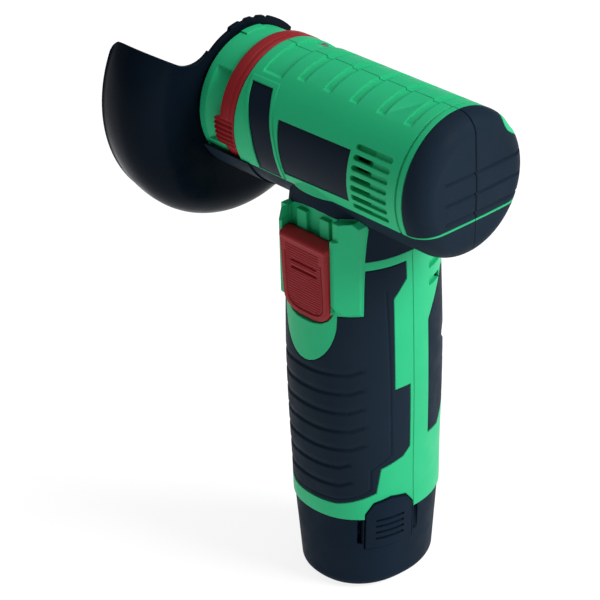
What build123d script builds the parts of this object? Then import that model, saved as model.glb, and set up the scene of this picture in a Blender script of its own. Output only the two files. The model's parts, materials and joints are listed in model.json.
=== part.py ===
"""A 12 V pistol-shaped die grinder with a cup guard: barrel along X, grip along Z.

Millimetres. +Z is up the grip, +X is the rear rubber cap, -X is the wheel, -Y is the switch side.
The origin is the middle of the battery's flat base. Every separate piece is one STEP file.
"""

import os
from math import copysign, cos, pi, radians, sin

from build123d import *

# Barrel, turned about an axis parallel to X
AXIS_Z = 163.0
BARREL_R = 24.9
SKIN = 1.5  # thickness of the moulded-on rubber
WALL = 2.9  # rubber and plastic together
BARREL_FRONT = -34.6
CAP_START = 42.6
CAP_END = 51.0
RUBBER_LINE_Z = 151.8  # below this the barrel is rubber

# Grip: height z, half width in x, half depth in y
GRIP_SECTIONS = [
    (30.8, 23.3, 26.0),
    (45.0, 23.1, 26.6),
    (62.0, 23.4, 27.3),
    (85.0, 23.6, 27.8),
    (112.0, 23.3, 27.2),
    (128.0, 22.9, 26.6),
    (143.0, 21.8, 25.3),
    (156.0, 20.5, 23.4),
]
GRIP_POWER = 2.2  # 2 would be an ellipse, higher is squarer

# Switch and the surround it slides in
BEZEL_Y, FLOOR_Y = -26.0, -22.6
BEZEL_LOW, BEZEL_HIGH, BEZEL_HALF = 111.5, 146.0, 18.0
SLOT_TOP = [(-11.25, 144.4), (-7.0, 146.6), (-2.5, 147.7), (2.5, 147.9), (7.0, 147.2), (11.25, 145.9)]
SWITCH_HALF, SWITCH_TOP = 10.9, 137.4
SWITCH_FOOT = [(10.9, 114.0), (10.4, 111.6), (9.0, 109.4), (6.8, 108.0), (3.5, 107.2)]
SWITCH_GAP = 0.35

# Motor, a 550 size, and its shaft
CAN_R, CAN_FRONT, CAN_REAR = 17.9, -25.0, 30.0
SHAFT_R = 2.5
BUSHING_BORE_R = 2.54

# Wheel flanges
FLANGE_R, PILOT_R, WHEEL_X, PILOT_LENGTH = 10.0, 5.0, -66.0, 1.2
SCREW_R = 1.5

# Nose, lock ring and guard
NOSE_R, NOSE_FRONT, BOSS_R, BOSS_FRONT = 23.6, -53.2, 20.0, -56.4
RING_FRONT, RING_REAR, RING_R, RING_BORE_R = -42.2, -34.9, 25.1, 22.6
GUARD_R, GUARD_RIM_R, GUARD_RIM_X = 47.4, 45.3, -77.5
GUARD_BACK, SHEET, GUARD_RING_R = -54.4, 1.6, 26.3
GUARD_START, GUARD_SWEEP = 58.0, 186.0  # degrees from the top towards the front
TEETH, PLAIN_RING = (-20.0, -8.0, 4.0), ((18.0, 26.0), (-102.0, 52.0))

# Battery
BASE_TOP, TOWER_TOP = 30.4, 79.0
CELL_R, CELL_LENGTH, CELL_SPREAD = 9.0, 65.0, 10.42
TAB_ANGLES = (-24.0, -156.0)

BARREL_AXIS = Axis((0, 0, AXIS_Z), (1, 0, 0))


def block(x0, x1, y0, y1, z0, z1):
    """A box given by its limits."""
    return Pos((x0 + x1) / 2, (y0 + y1) / 2, (z0 + z1) / 2) * Box(x1 - x0, y1 - y0, z1 - z0)


def outline(points):
    """A flat face with the given corners."""
    return Face(Wire.make_polygon([Vector(*p) for p in points], close=True))


def turned(points, start=0.0, sweep=360.0):
    """An outline of (x, radius) points revolved about the barrel axis.

    Angles run from the top of the barrel towards the front (-Y).
    """
    face = outline([(x, 0, AXIS_Z + r) for x, r in points])
    return revolve(face, BARREL_AXIS, sweep).rotate(BARREL_AXIS, start)


def sleeve(x0, x1, outer, inner=0.0, start=0.0, sweep=360.0):
    """A plain sleeve, or part of one, round the barrel axis."""
    return turned([(x0, inner), (x0, outer), (x1, outer), (x1, inner)], start, sweep)


def prism_x(points):
    """A (y, z) outline pushed right through the grip along x."""
    return extrude(outline([(0, y, z) for y, z in points]), 60, dir=(1, 0, 0), both=True)


def prism_y(points, y0, y1):
    """An (x, z) outline pushed from y0 to y1."""
    return extrude(outline([(x, y0, z) for x, z in points]), y1 - y0, dir=(0, 1, 0))


def oval(a, b, z):
    """A rounded oblong face at height z, with half-axes a in x and b in y."""
    points = []
    for step in range(16):
        c, s = cos(2 * pi * step / 16), sin(2 * pi * step / 16)
        x = copysign(abs(c) ** (2 / GRIP_POWER), c) * a
        y = copysign(abs(s) ** (2 / GRIP_POWER), s) * b
        points.append((x, y, z))
    return Face(Wire([Edge.make_spline([Vector(*p) for p in points], periodic=True)]))


def oval_block(a, b, z0, z1):
    """An upright body of one oval section."""
    return extrude(oval(a, b, z0), z1 - z0, dir=(0, 0, 1))


def grip(inset):
    """The grip's lofted body, shrunk sideways by inset."""
    return loft([oval(a - inset, b - inset, z) for z, a, b in GRIP_SECTIONS])


def barrel(inset):
    """The barrel with its rounded rear cap, shrunk by inset."""
    r, end = BARREL_R - inset, CAP_END - inset
    body = turned([(BARREL_FRONT, 0), (BARREL_FRONT, r), (end - 0.8, r), (end, 0)])
    rim = body.edges().filter_by(GeomType.CIRCLE).group_by(Axis.X)[-1]
    return fillet(rim, 7.0 - inset)


def solids_of(shape):
    """A shape as one solid, or as a compound of its solids."""
    solids = shape.solids()
    return solids[0] if len(solids) == 1 else Compound(children=list(solids))


def group(shapes):
    """Several separate solids as one piece."""
    return Compound(children=[solid for shape in shapes for solid in shape.solids()])


def grooved(shape, cuts):
    """A shape with each of the cuts taken out."""
    for cut in cuts:
        shape = shape - cut
    return shape


def save(name, shape):
    """Write one named piece."""
    export_step(solids_of(shape), f"parts/{name}.step")


SEAM = 0.1  # half the hairline gap between the housing's halves
FRONT_HALF = block(-90, 90, -90, -SEAM, -10, 220)
BACK_HALF = block(-90, 90, SEAM, 90, -10, 220)
OUTER = barrel(0) + grip(0)
CORE = barrel(SKIN) + grip(SKIN)
CAVITY = barrel(WALL) + grip(WALL)


# ---------------------------------------------------------------- rubber

def bezel_region():
    """The part of the grip's front taken by the switch surround and the tongue under it."""
    tongue = [(12.0 * cos(radians(a)), 109.5 + 17.5 * sin(radians(a))) for a in range(-10, -171, -10)]
    half, top = BEZEL_HALF + 0.3, BEZEL_HIGH + 0.3
    right = [(11.6, top), (16.8, top), (half, 142.5), (half, BEZEL_LOW), (12.0, BEZEL_LOW)]
    left = [(-12.0, BEZEL_LOW), (-half, BEZEL_LOW), (-half, 144.0)]
    return prism_y(right + tongue + left + SLOT_TOP, -40, -14)


def palm_grooves():
    """Seven shallow grooves across the front of the grip."""
    rind = grip(-1.0) - grip(0.8)
    cuts = []
    for step in range(7):
        z = 88.9 - 7.4 * step
        band = [(-30, z - 1.2), (-6, z - 0.7), (8, z - 0.7), (16.5, z + 0.4), (16.5, z + 1.6), (8, z + 0.7),
                (-6, z + 0.7), (-30, z + 0.2)]
        cuts.append(rind & prism_y(band, -40, -12))
    return cuts


def front_grip_rubber():
    edge = [(-40, 128.0), (-2.6, 128.0), (-2.6, 121.5), (-8.0, 115.5), (-8.0, 81.0), (-1.5, 81.0),
            (-1.5, 56.0), (-4.5, 53.0), (-13.0, 50.5), (-14.5, 41.0), (-24.0, 37.0), (-40, 37.0)]
    piece = (grip(0) - grip(SKIN)) & prism_x(edge)
    return piece - bezel_region()


def back_grip_rubber():
    edge = [(40, 120.0), (17.0, 117.0), (7.5, 102.0), (7.5, 57.0), (14.0, 57.0), (18.5, 62.0), (40, 62.0)]
    piece = (grip(0) - grip(SKIN)) & prism_x(edge)
    return piece - SCREW_POCKETS


def cap_rubbers():
    """The rear cap's rubber in front and back halves; it leaves a ring bare round the upper screw."""
    piece = (barrel(0) - barrel(SKIN)) & block(CAP_START, 60, -40, 40, RUBBER_LINE_Z + 0.6, 200)
    piece = piece - SCREW_POCKETS - upright(45.0, SCREW_SEAT_Y, 177.5, 4.4, 30.0)
    return piece & FRONT_HALF, piece & BACK_HALF


def cap_grooves():
    """Three grooves across the end of the cap."""
    return [block(44, 60, -23, 23, z - 0.55, z + 0.55) - barrel(0.8) for z in (168.5, 161.3, 154.3)]


def belly_rubbers():
    """The rubber under the barrel in front and back halves, with a chin that covers the lock ring."""
    piece = (OUTER - CORE) & block(-40, 60, -40, 40, 131.0, RUBBER_LINE_Z)
    low = block(-60, -30, -40, 40, 130.0, RUBBER_LINE_Z)
    chin = (sleeve(-52.6, BARREL_FRONT, 25.5, 24.4) + sleeve(BARREL_FRONT, -30.5, 25.5, BARREL_R)) & low
    piece = piece + chin - bezel_region()
    piece = piece - block(-60, 60, -30, 30, 120, 131.0) - SCREW_POCKETS
    return piece & FRONT_HALF, piece & BACK_HALF


# ---------------------------------------------------------------- housing

SCREW_PLACES = [(45.0, 177.5), (45.0, 148.5), (-27.2, 182.9), (-27.2, 143.1), (15.5, 90.0), (-15.5, 90.0)]
SCREW_SEAT_Y = 8.0
SCREW_LENGTH = 14.0


def upright(x, y, z, radius, length):
    """A rod along +Y starting at (x, y, z)."""
    return Pos(x, y + length / 2, z) * Rot(90, 0, 0) * Cylinder(radius, length)


def housing_screw(x, z):
    """One pan-head screw driven from the back half into the front half."""
    shank = upright(x, SCREW_SEAT_Y - SCREW_LENGTH, z, 1.4, SCREW_LENGTH)
    head = upright(x, SCREW_SEAT_Y, z, 2.7, 1.9)
    drive = upright(x, SCREW_SEAT_Y + 0.9, z, 1.0, 3.0)
    return shank + head - drive


SCREW_SPACES = group([upright(x, SCREW_SEAT_Y, z, 3.1, 30.0) for x, z in SCREW_PLACES])
SCREW_HOLES = group([upright(x, -8.0, z, 1.4, 30.0) for x, z in SCREW_PLACES])
SCREW_POCKETS = group([upright(x, SCREW_SEAT_Y, z, 3.1, 30.0) + upright(x, -8.0, z, 1.8, 30.0)
                       for x, z in SCREW_PLACES])


def bosses():
    """Posts inside the housing that the screws pass through and bite into."""
    posts = [upright(x, -9.0, z, 4.2, 30.0) for x, z in SCREW_PLACES]
    body = posts[0]
    for post in posts[1:]:
        body = body + post
    return (body & CORE) - sleeve(-34.7, CAN_REAR + 7.5, 19.3)


def bezel():
    """The switch's raised surround: the left cheek is cut off slanting, the right one is set back."""
    half = BEZEL_HALF
    plan = [(-half, -14), (-half, -19.4), (-12.7, BEZEL_Y), (12.7, BEZEL_Y), (half, -19.4), (half, -14)]
    body = extrude(outline([(x, y, BEZEL_LOW) for x, y in plan]), BEZEL_HIGH - BEZEL_LOW, dir=(0, 0, 1))
    front = [(-19, 116.5), (-12.2, BEZEL_LOW + 0.6), (19, BEZEL_LOW + 0.9), (19, 142.2),
             (16.6, BEZEL_HIGH - 0.2), (-19, BEZEL_HIGH - 0.2)]
    above = prism_x([(-30, 138.9), (BEZEL_Y, 138.9), (-22, 140.4), (-10, 140.4), (-10, 160), (-30, 160)])
    below = prism_x([(-30, 116.0), (-26.2, 116.0), (-22.5, 110.5), (-22.5, 100), (-30, 100)])
    body = (body & prism_y(front, -40, 0)) - (above & block(-30, -11.3, -40, 0, 100, 170))
    body = body - (below & block(11.3, 30, -40, 0, 90, 130))
    return body - block(0, 30, -40, -24.6, 139.6, 160)


def switch_outline(grow, top):
    """The switch's outline in x and z, straight above and round at its foot, a little larger all round."""
    scale = 1 + grow / SWITCH_HALF
    right = [(x * scale, z - grow) for x, z in SWITCH_FOOT]
    left = [(-x, z) for x, z in reversed(right)]
    return top + right + left


def bezel_slot():
    """The slot that the switch slides in."""
    return prism_y(switch_outline(SWITCH_GAP, SLOT_TOP), -40, FLOOR_Y)


def floor_hollow():
    """The hollow in the slot's floor above the switch, round two upright ribs."""
    half = SWITCH_HALF + SWITCH_GAP - 0.1
    body = block(-half, half, FLOOR_Y - 1, FLOOR_Y + 1.5, 135.0, 150.0) & prism_y(
        [(-half, 130), (half, 130), (half, 140)] + SLOT_TOP[::-1] + [(-half, 140)], -40, 0)
    for x in (-5.3, 5.3):
        body = body - block(x - 2.2, x + 2.2, FLOOR_Y - 2, FLOOR_Y + 2, 130, 143.8)
    return body


def slot_cut(x0, x1, half, depth):
    """An upright cut into the top of the barrel with round ends."""
    low, high = AXIS_Z + BARREL_R - depth, AXIS_Z + BARREL_R + 5
    body = block(x0 + half, x1 - half, -half, half, low, high)
    for x in (x0 + half, x1 - half):
        body = body + Pos(x, 0, (low + high) / 2) * Cylinder(half, high - low)
    return body


def vents():
    """Seven cooling slots behind the label; the first is blind, the others are open at their front end."""
    cuts = []
    for step in range(7):
        front_end = slot_cut(20.0, 28.0, 0.95, 1.6 if step == 0 else 6.0)
        slot = slot_cut(20.0, 36.0, 0.95, 1.0) + front_end
        cuts.append(slot.rotate(BARREL_AXIS, 61.0 + 7.9 * step))
    return cuts


def top_grooves():
    """Five grooves and a thumb pad cut across the top of the barrel."""
    above = AXIS_Z + BARREL_R * sin(radians(57))
    cuts = []
    for x in (-14.0, -2.0, 10.0, 22.0, 34.0):
        ring = sleeve(x - 1.8, x + 1.8, BARREL_R + 2, BARREL_R - 0.8)
        cuts.append(ring & block(-90, 90, -40, 40, above, 200))
    pad = sleeve(-30.5, -21.3, BARREL_R + 2, BARREL_R - 0.9)
    return cuts + [pad & block(-90, 90, -40, 40, above - 1.2, 200)]


def collar_groove():
    """A fine groove that leaves a raised collar in front of the cap's rubber."""
    return sleeve(39.7, 40.5, BARREL_R + 2, BARREL_R - 0.5) & block(-90, 90, -40, 40, RUBBER_LINE_Z, 200)


def side_slots():
    """Two blind cooling slots high on the back half of the grip's side."""
    rind = grip(-1.0) - grip(1.4)
    lower = rind & block(10, 40, 8.3, 15.0, 114.2, 116.8)
    return [lower, rind & block(10, 40, 8.3, 18.0, 120.6, 123.2)]


INLAY = [(-31.8, 180.2), (-30.6, 176.0), (-28.4, 170.5), (-26.2, 164.4), (-25.0, 157.5), (-24.9, 152.2),
         (-13.9, 152.2), (-14.4, 157.5), (-15.8, 164.4), (-18.0, 170.4), (-20.0, 176.0), (-21.9, 180.2)]
LABEL = [(-15.0, 173.0), (18.3, 173.4), (18.4, 156.0), (-12.0, 155.0), (-12.9, 161.5), (-14.1, 168.0)]


def inlay_border():
    """The low raised border round the barrel's dark inlay."""
    edge = [(x + (1.3 if step > 5 else -1.3), z) for step, (x, z) in enumerate(INLAY)]
    edge[0], edge[-1] = (-33.3, 181.6), (-20.4, 181.6)
    return prism_y(edge, -40, -8) & sleeve(-36, 40, BARREL_R + 0.3, BARREL_R - 1.2)


def barrel_plate(points, recess):
    """A thin curved plate let into the front of the barrel."""
    layer = sleeve(-33, 40, BARREL_R - recess, BARREL_R - recess - 1.0)
    return layer & prism_y(points, -40, -8)


def arch(angle, grow=0.0):
    """The upright arched outline of a battery latch, pushed out through the wall at an angle."""
    half, low = 8.8 + grow, 18.0 - grow
    shape = [(-half, low), (half, low), (half, 33.0), (6.2, 36.9 + grow), (0, 38.2 + grow),
             (-6.2, 36.9 + grow), (-half, 33.0)]
    body = extrude(outline([(17.2, y, z) for y, z in shape]), 14, dir=(1, 0, 0))
    return body.rotate(Axis.Z, angle)


def housing():
    """Both plastic halves of the housing as one body, before it is split."""
    backing = block(-13.4, 13.4, -25.0, -19.8, 104.0, BEZEL_HIGH + 3.5) & grip(1.0)
    body = OUTER + bezel() - CAVITY + backing + bosses()
    body = body - bezel_slot() - floor_hollow() - block(-3.4, 3.4, -24, -15, 115.8, 134.2)
    for cut in vents() + top_grooves() + side_slots() + [collar_groove()]:
        body = body - cut
    for x in (CAN_FRONT + 1.5, CAN_REAR - 4.5):
        rib = sleeve(x, x + 2.2, BARREL_R - WALL + 0.3, CAN_R)
        body = body + (rib - block(-60, 60, -12, 12, 120, 150))
    body = body + sleeve(BARREL_FRONT, BARREL_FRONT + 3.0, BARREL_R - 0.5, 19.05)
    body = body - arch(TAB_ANGLES[0], 0.5) - arch(TAB_ANGLES[1], 0.5) + inlay_border()
    full = prism_y(INLAY, -40, -8) & sleeve(-33, 40, BARREL_R + 2, BARREL_R - 1.1)
    plate = prism_y(LABEL, -40, -8) & sleeve(-33, 40, BARREL_R + 2, BARREL_R - 1.2)
    return body - full - plate - SCREW_SPACES - SCREW_HOLES


# ---------------------------------------------------------------- nose, ring and guard

def nose_housing():
    """The bearing nose: front collar with a window, seat for the lock ring and a spigot in the housing."""
    seat = RING_BORE_R - 0.3
    body = turned([(BOSS_FRONT, 5.6), (BOSS_FRONT, BOSS_R), (NOSE_FRONT, BOSS_R), (NOSE_FRONT, NOSE_R),
                   (RING_FRONT - 0.3, NOSE_R), (RING_FRONT - 0.3, seat), (BARREL_FRONT, seat),
                   (BARREL_FRONT, 19.0), (-29.2, 19.0), (-29.2, 16.5), (-44.0, 16.5), (-45.0, 8.0),
                   (-50.0, 8.0), (-50.0, 5.6)])
    window = turned([(-51.2, 24.2), (-51.2, 30.0), (RING_FRONT - 0.2, 30.0), (RING_FRONT - 0.2, 20.4),
                     (-46.2, 20.4)], 46.0, 65.0)
    mark = sleeve(-53.0, -50.2, NOSE_R + 0.5, NOSE_R - 0.5, -10.0, 20.0)
    return body - window + mark


def lock_ring():
    """The ring that frees the guard, with a ribbed thumb tab reaching forward from it."""
    body = sleeve(RING_FRONT, RING_REAR, 24.0, RING_BORE_R)
    body = body + sleeve(RING_FRONT, RING_REAR, RING_R, RING_BORE_R, -85.0, 192.0)
    body = body + sleeve(-45.6, RING_FRONT + 1.0, RING_R, 21.0, 82.0, 25.0)
    body = body - sleeve(-43.0, -34, RING_BORE_R)
    for step in range(6):
        groove = block(-46, RING_REAR + 1, -0.35, 0.35, AXIS_Z + RING_R - 0.6, AXIS_Z + 30)
        body = body - groove.rotate(BARREL_AXIS, 84.5 + 4.0 * step)
    return body


def guard():
    """A pressed cup guard: a flat ring round the nose, a plate, and a curved skirt.

    The ring is widest in a toothed stretch at the top, which sets how far the guard can turn.
    """
    front = GUARD_BACK - SHEET
    ring = sleeve(front, GUARD_BACK, GUARD_RING_R, BOSS_R + 0.3)
    plate = sleeve(front, GUARD_BACK, 39.0, BOSS_R + 0.3, GUARD_START, GUARD_SWEEP)
    flat = ring + plate
    corners = [e for e in flat.edges().filter_by(Axis.X) if abs(point_radius(e) - GUARD_RING_R) < 0.2]
    flat = fillet(corners, 11.0)
    outer = [(GUARD_BACK, 38.8), (-55.3, 41.4), (-57.6, 43.8), (-61.0, 45.9), (-65.5, GUARD_R),
             (-70.5, 47.2), (-75.0, 46.4), (GUARD_RIM_X, GUARD_RIM_R)]
    inner = [(GUARD_RIM_X, 43.5), (-75.3, 44.6), (-70.5, 45.5), (-65.5, 45.7), (-61.8, 44.4), (-58.9, 42.5),
             (-57.0, 40.5), (front, 38.5)]
    skirt = turned(outer + inner, GUARD_START, GUARD_SWEEP)
    body = flat + skirt
    for angle in TEETH:
        notch = block(front - 1, GUARD_BACK + 1, -1.0, 1.0, AXIS_Z + GUARD_RING_R - 0.6, AXIS_Z + 30)
        body = body - notch.rotate(BARREL_AXIS, angle)
    for start, sweep in PLAIN_RING:
        body = body - sleeve(front - 1, GUARD_BACK + 1, 30.0, GUARD_RING_R - 1.0, start, sweep)
    return body


def point_radius(edge):
    """Distance of an edge's middle from the barrel axis."""
    point = edge.center()
    return (point.Y ** 2 + (point.Z - AXIS_Z) ** 2) ** 0.5


def guard_retainer():
    """The flat ring screwed to the nose that keeps the guard on."""
    body = sleeve(-58.0, BOSS_FRONT - 0.3, 23.2, 12.5) + sleeve(BOSS_FRONT - 0.3, BOSS_FRONT, 19.5, 12.5)
    return body - group([retainer_screw(a) for a in (30, 150, 270)])


def retainer_screw(angle):
    """One countersunk screw of the retainer."""
    rod = turned([(-58.0, 0), (-58.0, 1.9), (-56.4, 1.1), (-51.5, 1.1), (-51.5, 0)])
    return (Pos(0, 0, 16.2) * rod).rotate(BARREL_AXIS, angle)


# ---------------------------------------------------------------- motor and spindle

def shaft():
    """The motor shaft that carries the wheel, tapped for the clamp screw."""
    body = sleeve(WHEEL_X - 0.8, 35.4, SHAFT_R)
    return body - sleeve(WHEEL_X - 1.0, -58.8, SCREW_R)


def armature_stack():
    """The laminated core with five winding slots."""
    body = sleeve(-14, 18, 13.2, SHAFT_R)
    for step in range(5):
        slot = block(-15, 19, -1.1, 1.1, AXIS_Z + 8, AXIS_Z + 14)
        slot = slot + block(-15, 19, -3.4, 3.4, AXIS_Z + 6.5, AXIS_Z + 11)
        body = body - slot.rotate(BARREL_AXIS, 72.0 * step)
    return body


def windings():
    """The copper end turns at both ends of the core, and the wire in its slots."""
    body = sleeve(-18.5, -14, 11.3, 4.0) + sleeve(18, 22.0, 11.3, 4.0)
    for step in range(5):
        wire = block(-14.2, 18.2, -3.0, 3.0, AXIS_Z + 6.7, AXIS_Z + 10.7)
        body = body + wire.rotate(BARREL_AXIS, 72.0 * step)
    return body


def commutator():
    body = sleeve(23.0, 29.0, 4.6, SHAFT_R)
    for step in range(5):
        gap = block(22, 30, -0.2, 0.2, AXIS_Z + 3.8, AXIS_Z + 6)
        body = body - gap.rotate(BARREL_AXIS, 72.0 * step)
    return body


def fan():
    """The small cooling fan inside the front of the can."""
    body = sleeve(-22.0, -21.2, 12.5, SHAFT_R) + sleeve(-22.0, -19.2, 4.2, SHAFT_R)
    for step in range(9):
        blade = block(-21.3, -19.4, -0.4, 0.4, AXIS_Z + 4, AXIS_Z + 12.4)
        body = body + blade.rotate(BARREL_AXIS, 40.0 * step)
    return body


def motor_can():
    """The steel can, open at the rear, with cooling windows in its front face."""
    body = sleeve(CAN_FRONT, CAN_REAR, CAN_R, 17.1) + sleeve(CAN_FRONT, CAN_FRONT + 1.0, CAN_R, 3.4)
    body = body + sleeve(CAN_FRONT - 3.0, CAN_FRONT + 0.5, 6.5, 3.4)
    for step in range(4):
        window = block(-26, -23.5, -2.2, 2.2, AXIS_Z + 8.5, AXIS_Z + 14.5)
        body = body - window.rotate(BARREL_AXIS, 45.0 + 90.0 * step)
    return body


def motor_end_bell():
    """The plastic end of the motor with its bushing boss."""
    body = sleeve(CAN_REAR, CAN_REAR + 2.6, CAN_R, 3.4) + sleeve(CAN_REAR - 1.5, CAN_REAR, 17.0, 12.0)
    body = body + sleeve(CAN_REAR + 2.6, 36.4, 5.6, 3.4)
    for side in (-1, 1):
        body = body - block(29.8, 33.0, side * 12.5 - 0.4, side * 12.5 + 0.4, AXIS_Z - 2.4, AXIS_Z + 2.4)
    return body


def brush(side):
    """One carbon brush against the commutator."""
    low, high = sorted((side * 4.7, side * 9.2))
    body = block(24.6, 27.8, low, high, AXIS_Z - 1.6, AXIS_Z + 1.6)
    return body - sleeve(24, 29, 4.7)


def brush_arm(side):
    """The springy copper arm behind a brush, ending in a terminal tab outside the end bell."""
    low, high = sorted((side * 9.2, side * 9.8))
    arm = block(24.6, CAN_REAR, low, high, AXIS_Z - 1.5, AXIS_Z + 1.5)
    return arm


def motor_terminal(side):
    low, high = side * 12.5 - 0.4, side * 12.5 + 0.4
    return block(29.8, 38.0, low, high, AXIS_Z - 2.4, AXIS_Z + 2.4)


def bearing_balls():
    """Eight balls of the nose bearing."""
    ball = Pos(-47.5, 0, AXIS_Z + 5.25) * Sphere(1.35)
    return group([ball.rotate(BARREL_AXIS, 45.0 * step) for step in range(8)])


def inner_flange():
    """The driven flange with the short pilot that centres the wheel."""
    body = sleeve(WHEEL_X, WHEEL_X + 3.6, FLANGE_R, SHAFT_R) + sleeve(WHEEL_X + 3.6, -58.6, 5.4, SHAFT_R)
    return body + sleeve(WHEEL_X - PILOT_LENGTH, WHEEL_X, PILOT_R, SHAFT_R)


def outer_flange():
    """The loose flange with two spanner holes."""
    back = WHEEL_X - PILOT_LENGTH
    body = sleeve(back - 2.8, back, FLANGE_R, SCREW_R + 0.15)
    for side in (0, 180):
        hole = sleeve(back - 3, back - 0.8, 1.6)
        body = body - (Pos(0, 0, 6.6) * hole).rotate(BARREL_AXIS, side)
    return body


def clamp_screw():
    """The socket-head screw that clamps the flanges."""
    back = WHEEL_X - PILOT_LENGTH - 2.8
    body = sleeve(back, -60.0, SCREW_R) + sleeve(back - 2.6, back, 2.9)
    turns = [radians(60 * step) for step in range(6)]
    hexagon = [(back - 2.7, 1.25 * cos(turn), AXIS_Z + 1.25 * sin(turn)) for turn in turns]
    return body - extrude(outline(hexagon), 1.8, dir=(1, 0, 0))


# ---------------------------------------------------------------- switch and electrics

def switch_slider():
    """The red slide: a wedge with a lip and a sunk thumb face, and a foot that works the switch behind it."""
    half, depth = SWITCH_HALF, FLOOR_Y - 0.3
    side = [(depth, SWITCH_TOP), (-24.0, SWITCH_TOP - 0.1), (-27.6, 136.3), (-28.2, 135.2), (-27.7, 133.6),
            (-26.5, 106.0), (depth, 106.0)]
    body = prism_x(side) & prism_y(switch_outline(0.0, [(-half, 138), (half, 138)]), -40, -10)
    body = body - block(-half + 2.0, half - 2.0, -30, -27.35, 110, 134.4)
    for z in (127.0, 124.6):
        body = body - block(-5.6, 5.6, -30, -26.7, z - 0.45, z + 0.45)
    return body + block(-3.0, 3.0, depth - 0.2, -16.4, 117.0, 127.0)


def power_switch():
    """The slide switch behind the slot's wall."""
    body = block(-6, 6, -19.8, -9.0, 111.0, 137.0)
    return body - block(-3.5, 3.5, -21, -15.4, 114.5, 135.5)


def control_board():
    return block(-10.6, 10.6, 8.0, 9.6, 88.0, 124.0)


def board_parts():
    """The larger components on the control board."""
    capacitor = Pos(-6, 4.0, 96) * Rot(90, 0, 0) * Cylinder(4.0, 8.0)
    transistor = block(2, 10, 5.4, 8.0, 100, 112)
    chip = block(-8, 0, 6.6, 8.0, 108, 114)
    connector = block(-4, 8, 3.0, 8.0, 89, 94)
    return group([capacitor, transistor, chip, connector])


def motor_lead(side):
    """One wire from a motor terminal, under the can and down to the board."""
    path = Spline([(36.5, side * 13.75, 161.0), (36.5, side * 12.2, 150.0), (33.2, side * 8.0, 144.6),
                   (24.0, side * 5.0, 143.0), (16.0, side * 5.0, 142.0), (11.5, side * 5.0, 135.0),
                   (8.0, side * 4.0, 124.0), (6.0, side * 3.0, 114.5)])
    tail = Plane(origin=path @ 0, z_dir=path % 0)
    return sweep(tail * Circle(0.8), path=path)


BLADES_X = (-8.0, 0.0, 8.0)


def terminal_block():
    """The plastic block in the grip that holds the blades."""
    return block(-14, 14, -6, 6, 80.2, 86.0) - group([terminal_blade(x) for x in BLADES_X])


def terminal_blade(x):
    return block(x - 0.4, x + 0.4, -3.0, 3.0, 74.8, 87.5)


# ---------------------------------------------------------------- battery

def base_loft(inset, z0=0.0, z1=BASE_TOP):
    """The battery's tapering base, shrunk by inset, between two heights."""
    def section(z):
        return oval(20.4 + 0.083 * z - inset, 23.5 + 0.061 * z - inset, z)
    return loft([section(z0), section(z1)])


def battery_base():
    """The open-topped lower case of the battery."""
    body = base_loft(0)
    body = fillet(body.edges().group_by(Axis.Z)[0], 4.2)
    body = body - base_loft(2.2, 2.2, BASE_TOP)
    for angle in TAB_ANGLES:
        body = body - arch(angle, 0.4)
        for side in (-1, 1):
            slot = block(19, 30, side * 10.6 - 0.9, side * 10.6 + 0.9, 20.0, 32.0)
            body = body - slot.rotate(Axis.Z, angle)
    return body


def battery_tower():
    """The deck and hollow tower that reach up inside the grip."""
    deck = base_loft(2.25, 27.6, BASE_TOP) - oval_block(18.9, 21.5, 27.0, 31.0)
    tower = oval_block(19.8, 22.4, 27.6, TOWER_TOP) - oval_block(18.9, 21.5, 27.0, 76.8)
    for x in BLADES_X:
        tower = tower - block(x - 0.9, x + 0.9, -3.6, 3.6, 76, 80)
    body = deck + tower
    for angle in TAB_ANGLES:
        body = body - block(17.9, 30, -9.6, 9.6, 20, BASE_TOP).rotate(Axis.Z, angle)
    return body


def cells():
    """Three round cells standing in a triangle."""
    bodies = []
    for angle in (-90, 30, 150):
        x, y = CELL_SPREAD * cos(radians(angle)), CELL_SPREAD * sin(radians(angle))
        bodies.append(Pos(x, y, 6.0 + CELL_LENGTH / 2) * Cylinder(CELL_R, CELL_LENGTH))
    return group(bodies)


def pack_contact(x):
    """One pair of spring plates that grips a blade."""
    pair = [block(x + s * 0.75 - 0.2, x + s * 0.75 + 0.2, -2.8, 2.8, 73.0, 76.6) for s in (-1, 1)]
    return group(pair)


def latch(angle):
    """One battery latch: an arched button with finger ribs, let into the side of the base."""
    def shell(inset):
        return loft([oval(20.4 - inset, 23.5 - inset, 0), oval(23.6 - inset, 26.0 - inset, 39)])
    body = (shell(-0.5) - shell(1.2)) & arch(angle)
    for z in (22.0, 24.6, 27.2, 29.8):
        strip = block(0, 40, -5.4, 5.4, z - 0.5, z + 0.5).rotate(Axis.Z, angle)
        groove = (shell(-1.0) - shell(0.1)) & strip
        body = body - groove
    return body


# ---------------------------------------------------------------- write everything

os.makedirs("parts", exist_ok=True)
front_cap, back_cap = cap_rubbers()
front_belly, back_belly = belly_rubbers()
front_grip, back_grip = front_grip_rubber(), back_grip_rubber()
rubbers = [front_cap, back_cap, front_belly, back_belly, front_grip, back_grip]
body = housing()
for rubber in rubbers:
    body = body - rubber
save("front_shell", body & FRONT_HALF)
save("back_shell", body & BACK_HALF)
save("front_cap_rubber", grooved(front_cap, cap_grooves()))
save("back_cap_rubber", grooved(back_cap, cap_grooves()))
save("front_belly_rubber", front_belly)
save("back_belly_rubber", back_belly)
save("front_grip_rubber", grooved(front_grip, palm_grooves()))
save("back_grip_rubber", back_grip)
save("barrel_inlay", barrel_plate(INLAY, 0.1))
save("label_plate", barrel_plate(LABEL, 0.2))
save("housing_screws", group([housing_screw(x, z) for x, z in SCREW_PLACES]))

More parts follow.
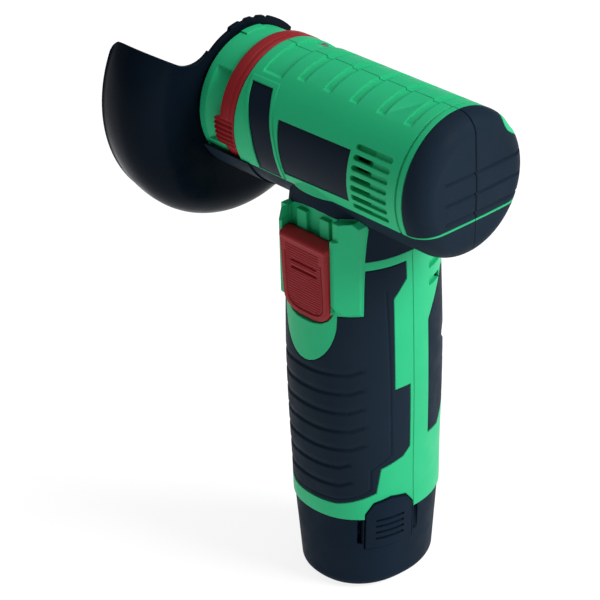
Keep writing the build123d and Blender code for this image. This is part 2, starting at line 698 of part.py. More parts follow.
save("nose_housing", nose_housing() - group([retainer_screw(a) for a in (30, 150, 270)]))
save("lock_ring", lock_ring())
save("guard", guard())
save("guard_retainer", guard_retainer())
save("retainer_screws", group([retainer_screw(a) for a in (30, 150, 270)]))

save("motor_can", motor_can())
save("motor_end_bell", motor_end_bell())
save("motor_magnets", group([sleeve(-17, 23, 17.05, 14.0, a, 130.0) for a in (25.0, 205.0)]))
bushings = [sleeve(-28.0, -24.0, 3.4, BUSHING_BORE_R), sleeve(31.0, 36.0, 3.4, BUSHING_BORE_R)]
save("motor_bushings", group(bushings))
save("carbon_brushes", group([brush(side) for side in (-1, 1)]))
save("brush_arms", group([brush_arm(side) for side in (-1, 1)]))
save("motor_terminals", group([motor_terminal(side) for side in (-1, 1)]))
save("shaft", shaft())
save("armature_stack", armature_stack())
save("windings", windings())
save("commutator", commutator())
save("motor_fan", fan())
save("bearing_outer_race", sleeve(-50.0, -45.0, 8.0, 6.4) - sleeve(-48.6, -46.4, 6.7))
save("bearing_inner_race", sleeve(-50.0, -45.0, 4.1, SHAFT_R) - (sleeve(-48.6, -46.4, 5.0, 3.85)))
save("bearing_balls", bearing_balls())
save("inner_flange", inner_flange())
save("outer_flange", outer_flange())
save("clamp_screw", clamp_screw())

save("switch_slider", switch_slider())
save("power_switch", power_switch())
save("control_board", control_board())
save("board_parts", board_parts())
save("motor_leads", group([motor_lead(side) for side in (-1, 1)]))
save("terminal_block", terminal_block())
save("terminal_blades", group([terminal_blade(x) for x in BLADES_X]))

save("battery_base", battery_base())
save("battery_tower", battery_tower())
save("battery_cells", cells())
save("pack_board", oval_block(17.6, 20.0, 71.2, 72.8))
save("pack_contacts", group([pack_contact(x) for x in BLADES_X]))
save("right_latch", latch(TAB_ANGLES[0]))
save("left_latch", latch(TAB_ANGLES[1]))
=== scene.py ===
"""Looks for the cordless die grinder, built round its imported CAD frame.

+Z is up the grip, +X is the rear rubber cap, -X the guard, -Y the switch side. Shapes are in millimetres
here and turn into metres where a mesh is made. The camera, lights, floor and materials are in metres.
"""

import json
import math

import bpy
import numpy as np
from mathutils import Matrix, Vector


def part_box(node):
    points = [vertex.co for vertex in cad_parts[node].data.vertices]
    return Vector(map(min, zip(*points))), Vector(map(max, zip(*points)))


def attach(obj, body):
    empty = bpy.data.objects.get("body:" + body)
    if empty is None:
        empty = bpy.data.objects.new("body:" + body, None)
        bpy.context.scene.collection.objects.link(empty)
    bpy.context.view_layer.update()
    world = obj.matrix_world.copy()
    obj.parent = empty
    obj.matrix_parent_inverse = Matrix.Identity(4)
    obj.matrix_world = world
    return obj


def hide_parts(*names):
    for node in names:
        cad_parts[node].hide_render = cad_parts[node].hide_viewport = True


MM = 0.001

AXIS_Z = 163.0  # height of the barrel's axis
BARREL_R = 24.9
SKIN = 1.3  # thickness of the moulded rubber skins
GRIP_SCREW_X, GRIP_SCREW_Z, GRIP_POCKET_R = 15.5, 90.0, 3.1  # screws in the grip's back, one at each side
CAP_SCREW_X, CAP_SCREW_Z, CAP_POCKET_R = 45.0, 177.5, 4.4  # the cap's rubber stands back from its pocket
GRIP_SECTIONS = [  # height, half width along x, half width along y
    (30.8, 23.3, 26.0),
    (45.0, 23.1, 26.6),
    (62.0, 23.4, 27.3),
    (85.0, 23.6, 27.8),
    (112.0, 23.3, 27.2),
    (128.0, 22.9, 26.6),
    (143.0, 21.8, 25.3),
    (156.0, 20.5, 23.4),
]
GRIP_POWER = 2.2  # exponent of the grip's rounded-square sections; 2 would be an ellipse

# Camera of the main view
TARGET = Vector((-0.0321, 0.0, 0.0903))
AZIMUTH, ELEVATION, ROLL = 47.76, 29.57, -1.58  # azimuth 0 looks along +Y
DISTANCE = 0.8316
LENS, SENSOR = 143.27, 36.0  # millimetres

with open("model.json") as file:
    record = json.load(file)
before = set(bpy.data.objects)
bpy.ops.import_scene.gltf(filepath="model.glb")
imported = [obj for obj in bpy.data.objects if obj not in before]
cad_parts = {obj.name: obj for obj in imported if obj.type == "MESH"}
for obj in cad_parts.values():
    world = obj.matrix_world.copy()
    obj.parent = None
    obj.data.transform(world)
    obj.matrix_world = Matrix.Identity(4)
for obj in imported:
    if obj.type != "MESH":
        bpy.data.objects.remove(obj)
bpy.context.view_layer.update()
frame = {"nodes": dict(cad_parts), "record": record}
nodes = frame["nodes"]


# ---------------------------------------------------------------- materials

def add_node(tree, kind, **values):
    """A shader node with some of its input sockets set by name."""
    node = tree.nodes.new(kind)
    for name, value in values.items():
        node.inputs[name.replace("_", " ")].default_value = value
    return node


def mixed(tree, factor, first, second):
    """A colour mix of two constants, driven by a factor socket."""
    mix = tree.nodes.new("ShaderNodeMix")
    mix.data_type = "RGBA"
    mix.inputs["A"].default_value = (*first, 1.0)
    mix.inputs["B"].default_value = (*second, 1.0)
    tree.links.new(factor, mix.inputs["Factor"])
    return mix.outputs["Result"]


def noise(tree, scale, detail):
    """Solid noise in object space, scale in features per metre."""
    place = tree.nodes.new("ShaderNodeTexCoord")
    node = add_node(tree, "ShaderNodeTexNoise", Scale=scale, Detail=detail)
    tree.links.new(place.outputs["Object"], node.inputs["Vector"])
    return node.outputs["Fac"]


def spread(tree, socket, low, high, to_low=0.0, to_high=1.0):
    """A value remapped from one range to another."""
    node = tree.nodes.new("ShaderNodeMapRange")
    for name, value in (("From Min", low), ("From Max", high), ("To Min", to_low), ("To Max", to_high)):
        node.inputs[name].default_value = value
    tree.links.new(socket, node.inputs["Value"])
    return node.outputs["Result"]


def material(name, colour, worn, rough, grain, depth, metal=0.0, specular=0.5, edge=0.0006, blotch=35.0):
    """A procedural material: colour drifting to a worn tone, roughness between two values, and a fine grain.

    grain and blotch are features per metre. Edges are softened by a bevelled normal of radius edge.
    """
    made = bpy.data.materials.new(name)
    made.use_nodes = True
    tree = made.node_tree
    shader = tree.nodes["Principled BSDF"]
    drift = spread(tree, noise(tree, blotch, 4.0), 0.3, 0.7)
    tree.links.new(mixed(tree, drift, colour, worn), shader.inputs["Base Color"])
    patches = spread(tree, noise(tree, blotch * 4, 5.0), 0.35, 0.65, rough[0], rough[1])
    tree.links.new(patches, shader.inputs["Roughness"])
    shader.inputs["Metallic"].default_value = metal
    shader.inputs["Specular IOR Level"].default_value = specular
    bump = add_node(tree, "ShaderNodeBump", Strength=1.0, Distance=depth)
    tree.links.new(noise(tree, grain, 6.0), bump.inputs["Height"])
    if edge:
        soft = tree.nodes.new("ShaderNodeBevel")
        soft.samples = 4
        soft.inputs["Radius"].default_value = edge
        tree.links.new(soft.outputs["Normal"], bump.inputs["Normal"])
    tree.links.new(bump.outputs["Normal"], shader.inputs["Normal"])
    return made


def make_materials():
    """One material for each slot of the record."""
    return {
        "green_plastic": material("green_plastic", (0.018, 0.500, 0.212), (0.017, 0.465, 0.196),
                                  (0.42, 0.52), 1500, 0.00004, specular=0.16),
        "dark_rubber": material("dark_rubber", (0.0075, 0.0165, 0.0290), (0.0100, 0.0205, 0.0345),
                                (0.50, 0.64), 2200, 0.00009, specular=0.045, edge=0.0002),
        "red_plastic": material("red_plastic", (0.300, 0.018, 0.023), (0.270, 0.016, 0.020),
                                (0.38, 0.5), 1500, 0.00004, specular=0.12, edge=0.0002),
        "black_plastic": material("black_plastic", (0.0055, 0.0140, 0.0260), (0.0070, 0.0165, 0.0305),
                                  (0.48, 0.62), 2600, 0.00010, specular=0.03, edge=0.0004),
        "label": material("label", (0.0070, 0.0150, 0.0270), (0.0065, 0.0135, 0.0245), (0.3, 0.38), 600,
                          0.00001, specular=0.05),
        "guard_black": material("guard_black", (0.0026, 0.0062, 0.0120), (0.0034, 0.0072, 0.0135),
                                (0.24, 0.34), 260, 0.00004, specular=0.03),
        "steel": material("steel", (0.58, 0.59, 0.61), (0.50, 0.51, 0.53), (0.22, 0.36), 3000, 0.00002,
                          metal=1.0),
        "can_steel": material("can_steel", (0.50, 0.51, 0.53), (0.42, 0.43, 0.45), (0.3, 0.42), 1200, 0.00002,
                              metal=1.0),
        "lamination": material("lamination", (0.30, 0.30, 0.31), (0.22, 0.22, 0.23), (0.4, 0.5), 2000,
                               0.00003, metal=1.0),
        "ferrite": material("ferrite", (0.05, 0.05, 0.055), (0.07, 0.07, 0.075), (0.5, 0.65), 1800, 0.00004),
        "copper": material("copper", (0.75, 0.36, 0.20), (0.62, 0.28, 0.15), (0.25, 0.4), 1500, 0.00002,
                           metal=1.0),
        "bronze": material("bronze", (0.55, 0.38, 0.18), (0.45, 0.30, 0.14), (0.35, 0.5), 2500, 0.00003,
                           metal=1.0),
        "carbon": material("carbon", (0.03, 0.03, 0.032), (0.05, 0.05, 0.052), (0.5, 0.65), 3000, 0.00003),
        "circuit_board": material("circuit_board", (0.02, 0.16, 0.07), (0.02, 0.13, 0.06), (0.3, 0.4), 900,
                                  0.00001),
        "electronic_parts": material("electronic_parts", (0.03, 0.03, 0.035), (0.05, 0.05, 0.055),
                                     (0.4, 0.5), 1500, 0.00002),
        "cell_wrap": material("cell_wrap", (0.05, 0.14, 0.38), (0.05, 0.12, 0.33), (0.25, 0.35), 300,
                              0.00002),
        "wire": material("wire", (0.40, 0.03, 0.03), (0.34, 0.025, 0.025), (0.35, 0.5), 900, 0.00001),
        "white_plastic": material("white_plastic", (0.72, 0.72, 0.69), (0.66, 0.66, 0.63), (0.4, 0.5), 1200,
                                  0.00002),
    }


def paint_cad(materials):
    """Give every CAD node its slot's material."""
    for part in frame["record"]["subparts"]:
        node = nodes[part["node"]]
        node.data.materials.clear()
        node.data.materials.append(materials[part["material_slot"]])


# ---------------------------------------------------------------- mesh tools

def add_piece(name, points, faces, body, slot, stands_for):
    """A new smooth-shaded mesh piece that rides on a body and stands for a CAD node."""
    mesh = bpy.data.meshes.new(name)
    corners = [tuple(float(v) * MM for v in point) for point in points]
    mesh.from_pydata(corners, [], [tuple(int(index) for index in face) for face in faces])
    mesh.validate()
    mesh.polygons.foreach_set("use_smooth", [True] * len(mesh.polygons))
    piece = bpy.data.objects.new(name, mesh)
    bpy.context.scene.collection.objects.link(piece)
    mesh.materials.append(finishes[slot])
    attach(piece, body)
    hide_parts(stands_for)
    return piece


def grid_faces(rows, columns, wrap=False, first=0):
    """Quads between the points of a grid stored row by row; wrap joins the last column to the first."""
    faces = []
    for row in range(rows - 1):
        for column in range(columns if wrap else columns - 1):
            after = (column + 1) % columns
            a, b = first + row * columns, first + (row + 1) * columns
            faces.append((a + column, b + column, b + after, a + after))
    return faces


def thicken(piece, thickness, edge=0.0):
    """Give a surface real thickness behind it, and round the edges that this makes by edge."""
    shell = piece.modifiers.new("thickness", "SOLIDIFY")
    shell.thickness, shell.offset = thickness * MM, -1.0
    if edge:
        bevel = piece.modifiers.new("edges", "BEVEL")
        bevel.width, bevel.segments, bevel.limit_method = edge * MM, 3, "ANGLE"
        bevel.angle_limit = math.radians(50.0)


def around(x, radius, angle):
    """A point by its radius and its angle from the top of the barrel towards the front."""
    turn = math.radians(angle)
    return (x, -radius * math.sin(turn), AXIS_Z + radius * math.cos(turn))


def smooth_between(z, places, values):
    """Cubic interpolation through pairs of place and value."""
    places, values = np.array(places), np.array(values)
    slopes = np.gradient(values, places)
    k = np.clip(np.searchsorted(places, z) - 1, 0, len(places) - 2)
    step = places[k + 1] - places[k]
    t = (z - places[k]) / step
    bend = (2 * t**3 - 3 * t**2 + 1) * values[k] + (3 * t**2 - 2 * t**3) * values[k + 1]
    return bend + step * ((t**3 - 2 * t**2 + t) * slopes[k] + (t**3 - t**2) * slopes[k + 1])


def depth_inside(u, v, corners):
    """Distance of points from a polygon's outline, positive inside it."""
    nearest = np.full(np.shape(u), 1e9)
    inside = np.zeros(np.shape(u), bool)
    for (u0, v0), (u1, v1) in zip(corners, corners[1:] + corners[:1]):
        du, dv = u1 - u0, v1 - v0
        along = np.clip(((u - u0) * du + (v - v0) * dv) / (du * du + dv * dv), 0, 1)
        nearest = np.minimum(nearest, np.hypot(u - u0 - along * du, v - v0 - along * dv))
        if dv:
            crosses = ((v0 > v) != (v1 > v)) & (u < du * (v - v0) / dv + u0)
            inside ^= crosses
    return np.where(inside, nearest, -nearest)


def distance_to_path(u, v, path):
    """Distance of points from an open line through some corners."""
    nearest = np.full(np.shape(u), 1e9)
    for (u0, v0), (u1, v1) in zip(path, path[1:]):
        du, dv = u1 - u0, v1 - v0
        along = np.clip(((u - u0) * du + (v - v0) * dv) / (du * du + dv * dv), 0, 1)
        nearest = np.minimum(nearest, np.hypot(u - u0 - along * du, v - v0 - along * dv))
    return nearest


def rounded_edge(depth, radius):
    """How far a surface has dropped at some depth inside its outline: a quarter round, then a steep wall."""
    inner = np.clip(radius - depth, 0, radius)
    drop = radius - np.sqrt(radius**2 - inner**2)
    return drop + np.clip(-depth, 0, None) * 3.0


def groove(distance, half, depth):
    """A soft-edged groove, by the distance from its middle line."""
    t = np.clip(distance / half, 0, 1)
    return depth * (1 - t * t * (3 - 2 * t))


def relief(node, surface, angles, lengths, drop, keep):
    """A dense rubber skin pressed into a surface by drop millimetres, cut off where keep is false."""
    points, normals = surface(angles, lengths)
    count = points.shape[1]
    flat, outward = points.reshape(-1, 3), normals.reshape(-1, 3)
    faces = np.array([f for f in grid_faces(points.shape[0], count) if keep.flat[list(f)].any()])
    a, b, d = (faces[len(faces) // 2][corner] for corner in (0, 1, 3))
    if np.dot(np.cross(flat[b] - flat[a], flat[d] - flat[a]), outward[a]) < 0:
        faces = faces[:, ::-1]
    used = np.unique(faces)
    index = np.full(len(flat), -1)
    index[used] = np.arange(len(used))
    pressed = flat - outward * drop.reshape(-1, 1)
    thicken(add_piece(node + ".detail", pressed[used], index[faces], "housing", "dark_rubber", node), SKIN)


# ---------------------------------------------------------------- grip rubber

def grip_surface(angles, heights):
    """Points and outward normals of the grip's outer surface on a grid of section angles and heights."""
    z, t = np.meshgrid(heights, angles, indexing="ij")
    places = [section[0] for section in GRIP_SECTIONS]
    a = smooth_between(z, places, [section[1] for section in GRIP_SECTIONS])
    b = smooth_between(z, places, [section[2] for section in GRIP_SECTIONS])
    power = 2 / GRIP_POWER
    x = np.copysign(np.abs(np.cos(t)) ** power, np.cos(t)) * a
    y = np.copysign(np.abs(np.sin(t)) ** power, np.sin(t)) * b
    nx = np.sign(x) * np.abs(x / a) ** (GRIP_POWER - 1) / a
    ny = np.sign(y) * np.abs(y / b) ** (GRIP_POWER - 1) / b
    size = np.hypot(nx, ny)
    return np.stack([x, y, z], -1), np.stack([nx / size, ny / size, np.zeros_like(nx)], -1)


# Outlines on the grip, seen from the side: y and z
FRONT_EDGE = [(-40, 128.0), (-2.6, 128.0), (-2.6, 121.5), (-8.0, 115.5), (-8.0, 81.0), (-1.5, 81.0),
              (-1.5, 56.0), (-4.5, 53.0), (-13.0, 50.5), (-14.5, 41.0), (-24.0, 37.0), (-40, 37.0)]
FRONT_STEP = [(-10.8, 119.0), (-10.0, 90.0), (-9.5, 55.5), (-16.4, 50.8), (-16.4, 43.0), (-19.0, 41.0),
              (-24.0, 38.9), (-40.0, 38.9)]
BACK_EDGE = [(40, 120.0), (17.0, 117.0), (7.5, 102.0), (7.5, 57.0), (14.0, 57.0), (18.5, 62.0), (40, 62.0)]
PALM_TOP, PALM_PITCH = 88.9, 7.4  # height of the highest wave groove, and their spacing


def palm_groove(x, z, top, left, right):
    """Drop of one wave-shaped groove: a sharp lower lip and a long hollow above it, hooked up at its end."""
    line = top - 1.4 * np.clip((-6.0 - x) / 12.0, 0, 1.5) + 1.3 * np.clip((x - right + 3.0) / 3.0, 0, 1.0)
    beyond = np.clip(np.maximum(left - x, x - right), 0, None)
    above = z - line
    hollow = np.where(above < 0, np.clip(1 + above / 0.55, 0, 1) * 1.0, np.clip(1 - above / 2.6, 0, 1) ** 2)
    return 0.75 * hollow * np.clip(1 - beyond / 1.2, 0, 1)


def switch_region():
    """Outline in x and z of the switch surround and the tongue under it."""
    tongue = [(12.0 * math.cos(math.radians(a)), 109.5 + 17.5 * math.sin(math.radians(a)))
              for a in range(0, -181, -12)]
    half, low = 18.3, 111.5
    right, left = [(half, 142.5), (half, low), (12.0, low)], [(-12.0, low), (-half, 116.5), (-half, 142.5)]
    return right + tongue + left


def front_grip_rubber():
    """The palm side's rubber with its wave grooves, a step along its edge, and room for the switch."""
    angles = np.radians(np.linspace(-184.0, 4.0, 330))
    heights = np.linspace(36.0, 129.0, 280)
    points, _ = grip_surface(angles, heights)
    x, y, z = points[..., 0], points[..., 1], points[..., 2]
    depth = depth_inside(y, z, FRONT_EDGE)
    depth = np.minimum(depth, np.where(y < -14, -depth_inside(x, z, switch_region()), 99.0))
    drop = rounded_edge(depth, 0.55)
    for step in range(7):
        right = 18.0 if step < 5 else 14.4
        drop = drop + palm_groove(x, z, PALM_TOP - PALM_PITCH * step, -20.5, right)
    drop = drop + np.where(x > 0, 1.0, 0.6) * groove(distance_to_path(y, z, FRONT_STEP), 0.7, 0.35)
    relief("front_grip_rubber", grip_surface, angles, heights, drop, depth > -0.35)


def back_grip_rubber():
    """The back's rubber with its grooves and the pockets of two screws."""
    angles = np.radians(np.linspace(8.0, 172.0, 290))
    heights = np.linspace(56.0, 121.0, 200)
    points, _ = grip_surface(angles, heights)
    x, y, z = points[..., 0], points[..., 1], points[..., 2]
    depth = depth_inside(y, z, BACK_EDGE)
    for side in (-1, 1):
        depth = np.minimum(depth, np.hypot(x - side * GRIP_SCREW_X, z - GRIP_SCREW_Z) - GRIP_POCKET_R)
    drop = rounded_edge(depth, 0.55)
    for step in range(4):
        drop = drop + palm_groove(x, z, PALM_TOP - 3.5 - PALM_PITCH * step, -16.0, 16.0) * (y > 0)
    relief("back_grip_rubber", grip_surface, angles, heights, drop, depth > -0.35)


# ---------------------------------------------------------------- guard

GUARD_START, GUARD_SWEEP = 58.0, 186.0  # degrees from the top towards the front
GUARD_BORE, GUARD_RING, GUARD_SHEET = 20.3, 26.3, 1.6
SHOULDER_R = 12.5  # radius of the curve between plate and skirt
CORNER_R = 11.0  # radius of the curve between ring and plate
SKIRT_FALL = 2.1  # how much narrower the skirt is at its rim
RIM_FLARE, RIM_CORNER = 0.5, 4.0  # the rim's outward curl, and the radius of its end corners


def past_end(r):
    """How many degrees the guard runs past its ends at radius r, in the corner between ring and plate."""
    middle = GUARD_RING + CORNER_R
    if r * r >= middle**2 - CORNER_R**2:
        return 0.0
    turn = math.acos(min(1.0, (r * r + middle**2 - CORNER_R**2) / (2 * r * middle)))
    return math.degrees(math.asin(CORNER_R / middle) - turn)


def guard_rows():
    """Rows from ring to rim: place x, radius, and how many degrees the row runs past the guard's ends."""
    low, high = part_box("guard")
    back, rim, widest = high.x / MM, low.x / MM, -low.y / MM
    start, rows = widest - SHOULDER_R, []
    for step in range(15):
        r = GUARD_RING + (start - GUARD_RING) * (1 - math.cos(math.pi / 2 * step / 14))
        rows.append((back, r, past_end(r)))
    for step in range(1, 21):
        turn = math.pi / 2 * step / 20
        r = start + SHOULDER_R * math.sin(turn)
        rows.append((back - SHOULDER_R * (1 - math.cos(turn)), r, past_end(r)))
    skirt = back - SHOULDER_R - rim
    for step in range(1, 25):
        along = step / 24
        left = skirt * (1 - along)
        flare = RIM_FLARE * max(0.0, 1 - left / 1.6) ** 2
        inset = RIM_CORNER - math.sqrt(max(0.0, RIM_CORNER**2 - max(0.0, RIM_CORNER - left) ** 2))
        rows.append((rim + left, widest - SKIRT_FALL * along**2 + flare, -math.degrees(inset / widest)))
    return rows


def ring_radius(angle):
    """The ring's radius at an angle from the top: widest where it is toothed, with three notches there."""
    toothed = np.clip((angle + 50.0) / 1.5, 0, 1) * np.clip((18.0 - angle) / 1.5, 0, 1)
    plain = np.clip((angle + 102.0) / 4.0, 0, 1) * np.clip((44.0 - angle) / 4.0, 0, 1) * (1 - toothed)
    notch = max(np.clip((2.6 - abs(angle - middle)) / 0.8, 0, 1) for middle in (-20.0, -8.0, 4.0))
    return GUARD_RING - 1.0 * plain - 0.6 * notch


def guard():
    """The pressed cup guard as one smooth sheet: notched ring, plate, shoulder and skirt."""
    columns, rows, points = 187, guard_rows(), []
    for x, r, past in rows:
        for column in range(columns):
            angle = GUARD_START - past + (GUARD_SWEEP + 2 * past) * column / (columns - 1)
            points.append(around(x, r, angle))
    faces = grid_faces(len(rows), columns)
    back, _, past = rows[0]
    start, end = GUARD_START - past, GUARD_START + GUARD_SWEEP + past
    plain = [start + (end - start) * column / (columns - 1) for column in range(columns)]
    free = [end + (start + 360.0 - end) * step / 200 for step in range(1, 200)]
    turns, first, radii = plain + free, len(points), (GUARD_BORE, 22.0, 23.5, 24.6)
    for r in radii:
        points += [around(back, r, angle) for angle in turns]
    outer = list(range(columns))
    for angle in free:
        outer.append(len(points))
        points.append(around(back, ring_radius((angle + 180.0) % 360.0 - 180.0), angle))
    faces += grid_faces(len(radii), len(turns), True, first)
    last = first + (len(radii) - 1) * len(turns)
    for column in range(len(turns)):
        after = (column + 1) % len(turns)
        faces.append((last + column, outer[column], outer[after], last + after))
    piece = add_piece("guard.sheet", points, faces, "guard", "guard_black", "guard")
    thicken(piece, GUARD_SHEET, edge=0.45)


# ---------------------------------------------------------------- lock ring

TAB_START, TAB_END, TAB_REACH = 82.0, 107.0, 3.4  # degrees, degrees, and how far forward it reaches
LOCK_FRONT, LOCK_R, LOCK_BORE, LOCK_WIDTH = -42.2, 25.1, 22.6, 7.3


def lock_ring():
    """The ring with its lip, its plain low stretch behind, and the ribbed thumb tab reaching forward."""
    width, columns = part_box("lock_ring")[1].x / MM - LOCK_FRONT, 720
    wall = LOCK_BORE - LOCK_R
    profile = [(0.0, wall), (0.0, -1.3), (0.12, -0.75), (0.45, -0.3), (1.0, -0.08), (1.7, 0.0), (3.0, 0.0),
               (4.1, 0.0), (4.5, -0.05), (4.7, -0.16), (4.95, -0.18), (5.15, -0.08), (5.4, 0.0), (6.2, 0.0),
               (6.75, -0.1), (7.05, -0.35), (LOCK_WIDTH, -0.8), (LOCK_WIDTH, wall)]
    points = []
    for along, rise in profile:
        x = LOCK_FRONT + along / LOCK_WIDTH * width
        for column in range(columns):
            angle = 360.0 * column / columns - 180.0
            raised = np.clip((angle + 86.0) / 3.0, 0, 1) * np.clip((108.5 - angle) / 2.0, 0, 1)
            tab = np.clip((angle - TAB_START) / 4.5, 0, 1) * np.clip((TAB_END + 0.5 - angle) / 1.2, 0, 1)
            tab = tab * tab * (3 - 2 * tab)
            ribs = 0.5 * (1 - math.cos(2 * math.pi * (angle - TAB_START) / 4.2)) * tab
            r = LOCK_R + rise - (1.1 * (1 - raised) + 0.75 * ribs * (along < 6.5)) * (rise > -1.4)
            fade = max(0.0, 1 - along / 3.0)
            points.append(around(x - TAB_REACH * tab * fade, max(r, LOCK_BORE), angle))
    rows = len(profile)
    faces = grid_faces(rows, columns, True)
    faces += [((rows - 1) * columns + c, c, (c + 1) % columns, (rows - 1) * columns + (c + 1) % columns)
              for c in range(columns)]
    faces = [face[::-1] for face in faces]
    add_piece("lock_ring.detail", points, faces, "lock_ring", "red_plastic", "lock_ring")


# ---------------------------------------------------------------- switch

SWITCH_HALF, SWITCH_TOP, SWITCH_BACK = 10.9, 137.4, -22.9
SWITCH_FOOT = [(10.9, 114.0), (10.4, 111.6), (9.0, 109.4), (6.8, 108.0), (3.5, 107.2)]  # half width, z
PANEL_TOP, BORDER_TOP = 133.6, 129.7  # where the ribs and the groove round them start


def switch_side():
    """The slide's side profile from its back top corner to its back bottom corner, as (y, z) points."""
    path = [(SWITCH_BACK, SWITCH_TOP - 0.5), (-23.3, SWITCH_TOP - 0.15), (-23.9, SWITCH_TOP - 0.1)]
    path += [(-24.5 - 2.9 * t, SWITCH_TOP - 0.15 - 0.85 * t) for t in np.linspace(0, 1, 14)]
    path += [(-27.8, 136.1), (-28.05, 135.7), (-28.15, 135.2), (-28.1, 134.8), (-28.0, 134.5)]
    low = SWITCH_FOOT[-1][1] + 0.05
    path += [(-27.9 + 1.25 * t, 134.2 - (134.2 - low) * t) for t in np.linspace(0, 1, 150)]
    return path


def switch_slider():
    """The slide's ribbed face inside a raised border, with two deep grooves and round edges."""
    widths, heights = zip(*reversed(SWITCH_FOOT))
    left = [(-half, z) for half, z in zip(widths, heights)]
    face = [(-SWITCH_HALF, SWITCH_TOP + 0.1), (SWITCH_HALF, SWITCH_TOP + 0.1), *SWITCH_FOOT, *left]
    path, columns = switch_side(), 121
    points = []
    for y, z in path:
        half = float(np.interp(z, heights, widths))
        x = half * np.linspace(-1, 1, columns)
        depth = depth_inside(x, np.full(columns, z), face)
        drop = np.minimum(rounded_edge(np.maximum(depth, 0), 0.8), 0.8)
        if z < PANEL_TOP:
            drop = drop + groove(np.hypot(depth - 2.5, max(z - BORDER_TOP, 0.0)), 0.45, 0.7)
            ribs = np.clip((depth - 2.9) / 0.3, 0, 1)
            drop = drop + ribs * (0.22 + 0.13 * math.cos(2 * math.pi * z / 0.95))
            for line in (127.2, 124.6):
                off = np.hypot(z - line, np.clip(np.abs(x) - 5.6, 0, None))
                drop = drop + groove(off, 0.75, 0.8)
        points.append((-half, SWITCH_BACK, z))
        points += [(xi, min(y + di, SWITCH_BACK), z) for xi, di in zip(x, drop)]
        points.append((half, SWITCH_BACK, z))
    count = columns + 2
    faces = [face[::-1] for face in grid_faces(len(path), count)]
    faces += [(row * count, row * count + count - 1, (row + 1) * count + count - 1, (row + 1) * count)
              for row in range(len(path) - 1)]
    for row in (0, len(path) - 1):
        ring = [row * count + column for column in range(count)]
        faces.append(ring if row == 0 else ring[::-1])
    add_piece("switch_slider.face", points, faces, "switch", "red_plastic", "switch_slider")


# ---------------------------------------------------------------- rear cap

CAP_FILLET = 7.0
CAP_LOW = 152.4  # lowest edge of the upper cap rubber
CAP_GROOVES = (168.5, 161.3, 154.6)  # heights of the three grooves across the end


def cap_profile(s):
    """Place x, radius and the outward normal along the cap's profile, s millimetres from its front edge."""
    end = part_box("front_cap_rubber")[1].x / MM
    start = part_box("front_cap_rubber")[0].x / MM
    slope = math.atan2(0.8, BARREL_R)
    turned = math.pi / 2 - slope
    straight = end - 0.8 - CAP_FILLET * math.tan(turned / 2) - start
    curve = CAP_FILLET * turned
    x, r, nx, nr = (np.zeros_like(s) for _ in range(4))
    first, second, third = s < straight, (s >= straight) & (s < straight + curve), s >= straight + curve
    x[first], r[first], nr[first] = start + s[first], BARREL_R, 1.0
    turn = (s[second] - straight) / CAP_FILLET
    x[second] = start + straight + CAP_FILLET * np.sin(turn)
    r[second] = BARREL_R - CAP_FILLET * (1 - np.cos(turn))
    nx[second], nr[second] = np.sin(turn), np.cos(turn)
    left = s[third] - straight - curve
    x[third] = start + straight + CAP_FILLET * math.sin(turned) + left * math.sin(slope)
    r[third] = np.clip(BARREL_R - CAP_FILLET * (1 - math.cos(turned)) - left * math.cos(slope), 0.02, None)
    nx[third], nr[third] = math.cos(slope), math.sin(slope)
    return x, r, nx, nr


def cap_surface(angles, lengths):
    """Points and outward normals of the rear cap on a grid of angles about the barrel and lengths along it."""
    s, t = np.meshgrid(lengths, angles, indexing="ij")
    x, r, nx, nr = cap_profile(s)
    points = np.stack([x, -r * np.sin(t), AXIS_Z + r * np.cos(t)], -1)
    return points, np.stack([nx, -nr * np.sin(t), nr * np.cos(t)], -1)


def cap_rubber(side, node):
    """One half of the rear cap's rubber: -1 is the switch side, 1 the screw side."""
    angles = -side * np.radians(np.linspace(-1.0, 181.0, 400))
    lengths = np.linspace(-0.6, 30.3, 110)
    points, _ = cap_surface(angles, lengths)
    x, y, z = points[..., 0], points[..., 1], points[..., 2]
    s = np.meshgrid(lengths, angles, indexing="ij")[0]
    depth = np.minimum(np.minimum(z - CAP_LOW, s), side * y - 0.05)
    if side > 0:
        depth = np.minimum(depth, np.hypot(x - CAP_SCREW_X, z - CAP_SCREW_Z) - CAP_POCKET_R)
    drop = rounded_edge(depth, 0.5)
    for line in CAP_GROOVES:
        off = np.hypot(z - line, np.clip(-13.0 - y, 0, None) + np.clip(y - 22.0, 0, None))
        drop = drop + np.where(s > 4.0, groove(off, 0.8, 0.8), 0.0)
    relief(node, cap_surface, angles, lengths, drop, depth > -0.4)


# ---------------------------------------------------------------- stage

def camera_matrix():
    """The camera's place and turn from its azimuth, elevation and roll about the target."""
    a, e, r = (math.radians(v) for v in (AZIMUTH, ELEVATION, ROLL))
    back = Vector((math.sin(a) * math.cos(e), -math.cos(a) * math.cos(e), math.sin(e)))
    level = Vector((math.cos(a), math.sin(a), 0.0))
    upright = back.cross(level)
    right = level * math.cos(r) + upright * math.sin(r)
    up = upright * math.cos(r) - level * math.sin(r)
    turn = Matrix((right, up, back)).transposed().to_4x4()
    return Matrix.Translation(TARGET + back * DISTANCE) @ turn


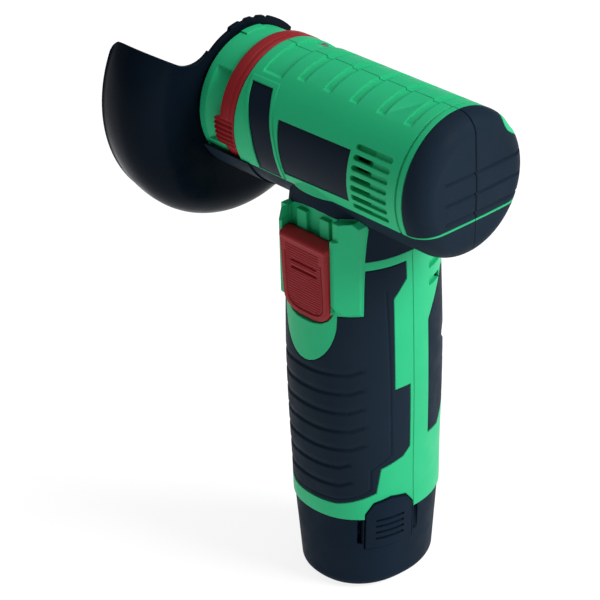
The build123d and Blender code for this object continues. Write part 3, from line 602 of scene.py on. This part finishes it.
def add_camera():
    """The main camera, a long lens with everything in focus."""
    lens = bpy.data.cameras.new("camera")
    lens.lens, lens.sensor_width = LENS, SENSOR
    lens.clip_start, lens.clip_end = 0.01, 20.0
    camera = bpy.data.objects.new("camera", lens)
    camera.matrix_world = camera_matrix()
    bpy.context.scene.collection.objects.link(camera)
    bpy.context.scene.camera = camera


def add_light(name, place, size, power):
    """A square soft light aimed at the middle of the object."""
    light = bpy.data.lights.new(name, "AREA")
    light.size, light.energy = size, power
    lamp = bpy.data.objects.new(name, light)
    lamp.location = place
    aim = TARGET - Vector(place)
    lamp.rotation_euler = aim.to_track_quat("-Z", "Y").to_euler()
    bpy.context.scene.collection.objects.link(lamp)


def add_stage():
    """A softly glowing white floor and dim, even surroundings."""
    floor_mesh = bpy.data.meshes.new("floor")
    reach = 6.0
    corners = [(-reach, -reach, 0), (reach, -reach, 0), (reach, reach, 0), (-reach, reach, 0)]
    floor_mesh.from_pydata(corners, [], [(0, 1, 2, 3)])
    floor = bpy.data.objects.new("floor", floor_mesh)
    floor.location.z = -0.0002
    bpy.context.scene.collection.objects.link(floor)
    paper = material("floor_paper", (0.32, 0.32, 0.32), (0.30, 0.30, 0.30), (0.8, 0.9), 400, 0.00001,
                     specular=0.0, edge=0.0, blotch=3.0)
    paper.node_tree.nodes["Principled BSDF"].inputs["Emission Color"].default_value = (1.0, 1.0, 1.0, 1.0)
    paper.node_tree.nodes["Principled BSDF"].inputs["Emission Strength"].default_value = 0.84
    floor.data.materials.append(paper)
    world = bpy.data.worlds.new("studio")
    world.use_nodes = True
    background = world.node_tree.nodes["Background"]
    background.inputs["Color"].default_value = (0.96, 0.98, 1.0, 1.0)
    background.inputs["Strength"].default_value = 0.2
    bpy.context.scene.world = world
    add_light("key", (0.96, 0.50, 0.89), 0.7, 17.5)
    add_light("top", (-0.25, 0.1, 1.3), 0.9, 4.0)


bpy.context.scene.view_settings.view_transform = "Standard"
finishes = make_materials()
paint_cad(finishes)
add_camera()
add_stage()
front_grip_rubber()
back_grip_rubber()
guard()
lock_ring()
switch_slider()
cap_rubber(-1, "front_cap_rubber")
cap_rubber(1, "back_cap_rubber")
